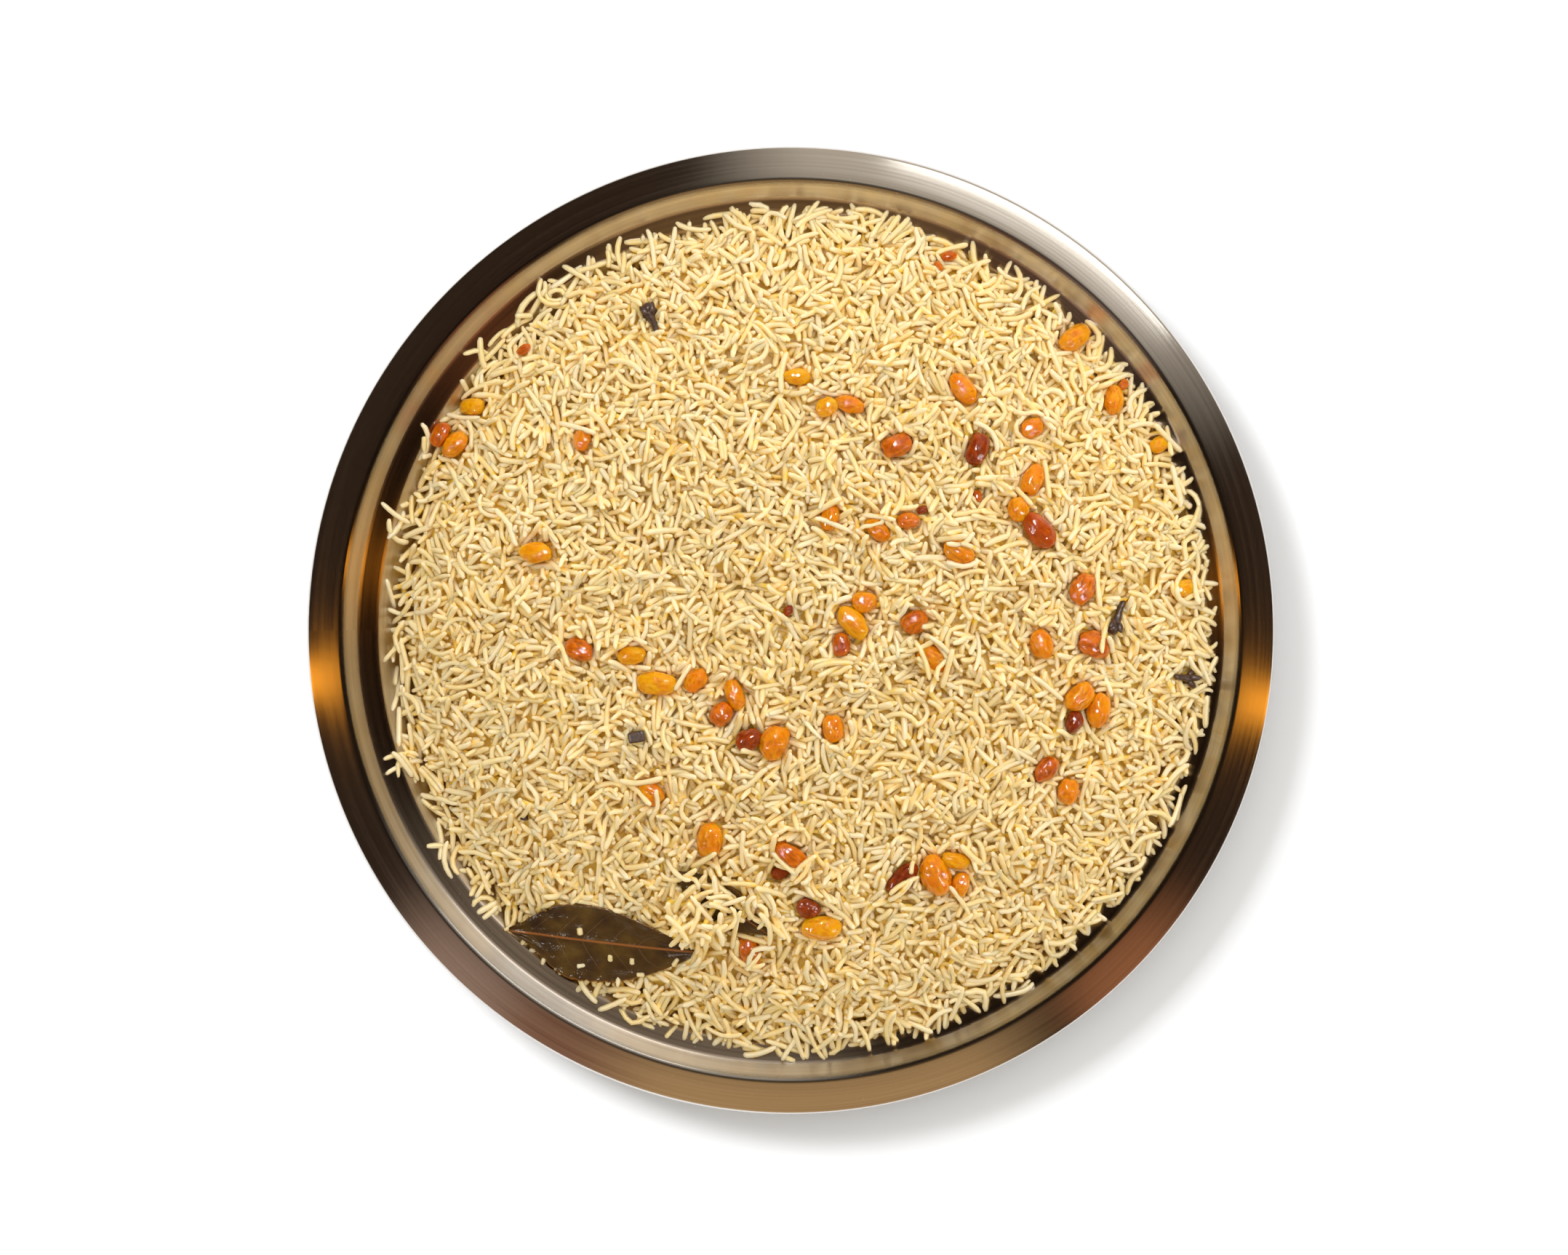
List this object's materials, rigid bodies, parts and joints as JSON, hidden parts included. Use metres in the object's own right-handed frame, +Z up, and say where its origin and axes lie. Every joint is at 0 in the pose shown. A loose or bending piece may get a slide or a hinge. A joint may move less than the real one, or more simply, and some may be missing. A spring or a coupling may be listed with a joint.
{
  "type": "platter of peshawari rice",
  "caption": "Round steel platter heaped with long cooked rice, with sultanas, cloves and bay leaves lying on the dome.",
  "frame": {"origin": "middle of the platter's foot, on the table", "axes": "+Z up; +X to the right and +Y to the top of the picture, which looks straight down"},
  "size_m": [0.3568, 0.3568, 0.0615],
  "materials": {
    "steel": "brushed stainless steel, polished on the walls",
    "rice": "moist cooked grains, creamy yellow",
    "sultana_gold": "glossy, wrinkled, translucent gold",
    "sultana_amber": "glossy, wrinkled, translucent amber",
    "sultana_red": "glossy, wrinkled, deep red-brown",
    "sultana_dark": "glossy, wrinkled, dark brown",
    "clove": "dark brown, finely wrinkled",
    "bay_leaf": "dark olive brown with a moist sheen"
  },
  "bodies": {
    "root": {"dish": "steel", "rice_heap": "rice", "bay_leaf": "bay_leaf", "bay_leaf_buried": "bay_leaf", "clove_1": "clove", "clove_2": "clove", "clove_3": "clove", "sultana_gold_01": "sultana_gold", "sultana_gold_02": "sultana_gold", "sultana_gold_03": "sultana_gold", "sultana_gold_04": "sultana_gold", "sultana_gold_05": "sultana_gold", "sultana_gold_06": "sultana_gold", "sultana_gold_07": "sultana_gold", "sultana_gold_08": "sultana_gold", "sultana_gold_09": "sultana_gold", "sultana_gold_10": "sultana_gold", "sultana_gold_11": "sultana_gold", "sultana_amber_01": "sultana_amber", "sultana_amber_02": "sultana_amber", "sultana_amber_03": "sultana_amber", "sultana_amber_04": "sultana_amber", "sultana_amber_05": "sultana_amber", "sultana_amber_06": "sultana_amber", "sultana_amber_07": "sultana_amber", "sultana_amber_08": "sultana_amber", "sultana_amber_09": "sultana_amber", "sultana_amber_10": "sultana_amber", "sultana_amber_11": "sultana_amber", "sultana_amber_12": "sultana_amber", "sultana_amber_13": "sultana_amber", "sultana_amber_14": "sultana_amber", "sultana_amber_15": "sultana_amber", "sultana_amber_16": "sultana_amber", "sultana_amber_17": "sultana_amber", "sultana_amber_18": "sultana_amber", "sultana_amber_19": "sultana_amber", "sultana_amber_20": "sultana_amber", "sultana_amber_21": "sultana_amber", "sultana_amber_22": "sultana_amber", "sultana_amber_23": "sultana_amber", "sultana_amber_24": "sultana_amber", "sultana_amber_25": "sultana_amber", "sultana_amber_26": "sultana_amber", "sultana_red_01": "sultana_red", "sultana_red_02": "sultana_red", "sultana_red_03": "sultana_red", "sultana_red_04": "sultana_red", "sultana_red_05": "sultana_red", "sultana_red_06": "sultana_red", "sultana_red_07": "sultana_red", "sultana_red_08": "sultana_red", "sultana_red_09": "sultana_red", "sultana_red_10": "sultana_red", "sultana_red_11": "sultana_red", "sultana_red_12": "sultana_red", "sultana_dark_01": "sultana_dark", "sultana_dark_02": "sultana_dark", "sultana_dark_03": "sultana_dark", "sultana_dark_04": "sultana_dark"}
  },
  "joints": []
}
